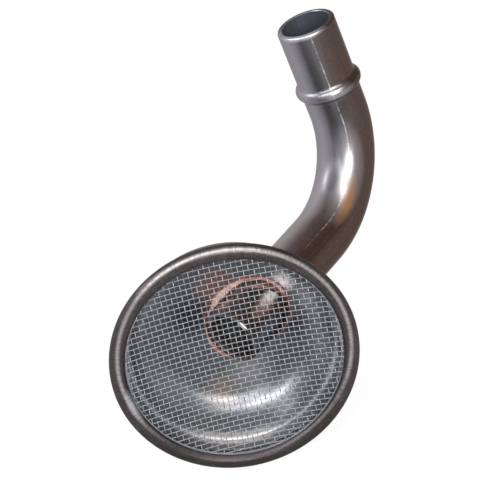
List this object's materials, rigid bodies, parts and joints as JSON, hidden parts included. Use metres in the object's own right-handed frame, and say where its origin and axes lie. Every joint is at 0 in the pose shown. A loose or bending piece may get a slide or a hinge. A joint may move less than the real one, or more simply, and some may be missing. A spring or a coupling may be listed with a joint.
{
  "type": "oil pickup tube",
  "caption": "Bent steel tube with a rolled bead, copper brazed at an angle into a round stamped bowl whose hemmed rim grips a woven wire screen; draws oil from a sump into a pump.",
  "frame": {"origin": "on the spigot's axis, at the end of the bead that seats on the pump", "axes": "+Z along the spigot, out of its open end; the screen faces -Y, tilted up by 5 degrees; the leg runs between -X and -Y"},
  "size_m": [0.1061, 0.0875, 0.099],
  "materials": {
    "tube_steel": "satin, brown heat tint",
    "bowl_steel": "satin",
    "screen_wire": "bright wire",
    "copper_braze": "satin copper"
  },
  "bodies": {
    "root": {"pickup_tube": "tube_steel", "strainer_bowl": "bowl_steel", "wire_screen": "screen_wire", "braze_fillet": "copper_braze"}
  },
  "joints": []
}
